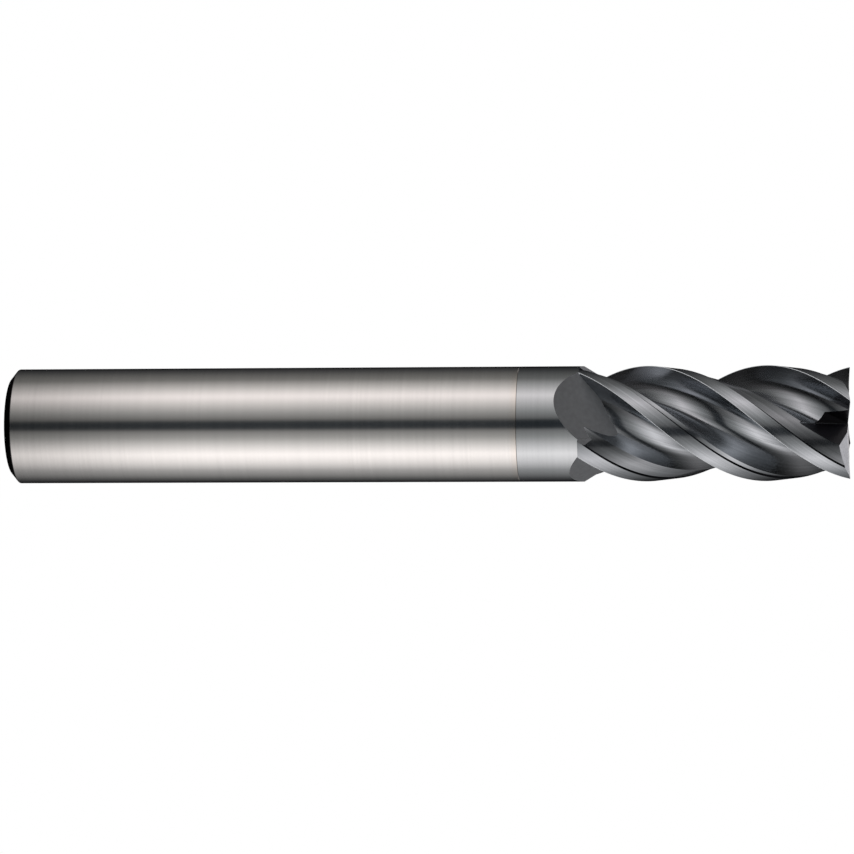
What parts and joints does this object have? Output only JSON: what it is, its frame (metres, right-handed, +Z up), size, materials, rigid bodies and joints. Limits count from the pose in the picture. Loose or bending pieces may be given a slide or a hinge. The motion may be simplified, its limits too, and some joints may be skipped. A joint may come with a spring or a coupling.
{
  "type": "end mill",
  "caption": "Solid-carbide square end mill: plain round shank, right-hand helical flutes with unequal tooth spacing, and end teeth that cut to the centre.",
  "frame": {"origin": "centre of the shank's rear end face, on the tool's axis", "axes": "+X along the tool's axis from the shank to the cutting end, +Z up, the tool lying on its side"},
  "size_m": [0.073, 0.01, 0.01],
  "materials": {
    "bright_carbide": "fine circumferential grind, bright",
    "coated_neck": "thin hard coating over the same grind, satin",
    "coated_flutes": "thin hard coating over ground flutes, blue-grey, semi-gloss"
  },
  "bodies": {
    "root": {"shank": "bright_carbide", "neck": "coated_neck", "core": "coated_flutes", "tooth_1": "coated_flutes", "tooth_2": "coated_flutes", "tooth_3": "coated_flutes", "tooth_4": "coated_flutes"}
  },
  "joints": []
}
